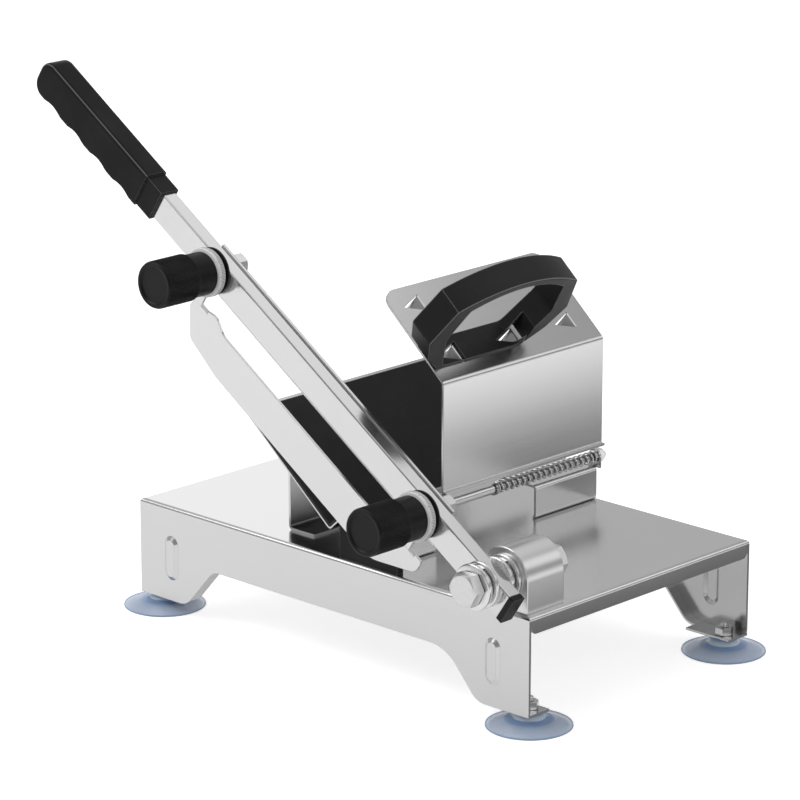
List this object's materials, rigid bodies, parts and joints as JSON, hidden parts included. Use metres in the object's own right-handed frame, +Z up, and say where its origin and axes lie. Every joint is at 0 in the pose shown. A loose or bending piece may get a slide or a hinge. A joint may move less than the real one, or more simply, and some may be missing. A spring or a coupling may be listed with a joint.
{
  "type": "frozen meat slicer",
  "caption": "Hand-operated slicer: pivoting knife arm with thickness gauge, feed trough and spring-returned toothed press cover on a sheet-steel table with suction feet.",
  "frame": {"origin": "centre of the whole slicer's footprint, on the surface that its suction cups stand on", "axes": "+X along the table's long edge towards the arm's pivot, +Y from the blade side to the rear, +Z up"},
  "size_m": [0.4144, 0.28, 0.344],
  "materials": {
    "sheet_steel": "satin stainless sheet",
    "arm_steel": "polished stainless",
    "blade_steel": "ground and polished",
    "fastener_steel": "bright plated",
    "spring_steel": "drawn wire",
    "black_plastic": "satin moulded",
    "liner_plastic": "smooth",
    "dial_plastic": "white with engraved scale",
    "cup_rubber": "translucent soft PVC",
    "insert_brass": "turned"
  },
  "bodies": {
    "frame": {"base_table": "sheet_steel", "suction_cups": "cup_rubber", "cup_studs": "fastener_steel", "cup_nuts": "fastener_steel", "pivot_bracket": "arm_steel", "pivot_bolt": "fastener_steel", "pivot_flat_washers": "fastener_steel", "pivot_spring_washers": "fastener_steel", "pivot_nut": "fastener_steel", "trough_tray": "sheet_steel", "trough_liner": "liner_plastic", "trough_stand": "sheet_steel", "front_board": "black_plastic", "board_screws": "fastener_steel", "rod_bracket_front": "sheet_steel", "rod_bracket_rear": "sheet_steel", "guide_rod": "fastener_steel", "rod_nuts": "fastener_steel", "feed_spring": "spring_steel"},
    "cutting_arm": {"arm_tube": "arm_steel", "pivot_bush": "insert_brass", "arm_end_plug": "black_plastic", "arm_handle": "black_plastic", "blade": "blade_steel", "knob_bolts": "fastener_steel", "knob_pads": "black_plastic"},
    "gauge": {"thickness_gauge": "sheet_steel"},
    "upper_knob": {"knob_1": "black_plastic", "knob_insert_1": "insert_brass", "dial_ring_1": "dial_plastic"},
    "lower_knob": {"knob_2": "black_plastic", "knob_insert_2": "insert_brass", "dial_ring_2": "dial_plastic"},
    "cover_slider": {"slide_washer": "fastener_steel"},
    "cover": {"press_cover": "sheet_steel", "cover_knuckle": "sheet_steel", "cover_handle": "black_plastic", "handle_screws": "fastener_steel"}
  },
  "joints": [
    {"name": "arm_swing", "type": "hinge", "parent": "frame", "child": "cutting_arm", "pos_m": [0.16813, -0.086, 0.0903], "axis": [0, 1, 0], "range_deg": [-35, 50]},
    {"name": "gauge_slide", "type": "slide", "parent": "cutting_arm", "child": "gauge", "axis": [0, -1, 0], "range_m": [-0.001, 0.008]},
    {"name": "upper_knob_turn", "type": "hinge", "parent": "gauge", "child": "upper_knob", "pos_m": [-0.05284, -0.115, 0.23694], "axis": [0, -1, 0], "range_deg": [-361, 2881]},
    {"name": "lower_knob_turn", "type": "hinge", "parent": "gauge", "child": "lower_knob", "pos_m": [0.12047, -0.115, 0.12193], "axis": [0, -1, 0], "range_deg": [-361, 2881]},
    {"name": "cover_slide", "type": "slide", "parent": "frame", "child": "cover_slider", "axis": [0, 1, 0], "range_m": [0, 0.05], "stiffness_N_per_m": 500, "springref_m": -0.01, "deforming": ["feed_spring"]},
    {"name": "cover_hinge", "type": "hinge", "parent": "cover_slider", "child": "cover", "pos_m": [0.06573, 0.025, 0.098], "axis": [0, 1, 0], "range_deg": [-41, 80]}
  ],
  "couplings": [
    {"joint": "upper_knob_turn", "follows": "gauge_slide", "rad_per_m": 6283.2},
    {"joint": "lower_knob_turn", "follows": "gauge_slide", "rad_per_m": 6283.2}
  ]
}
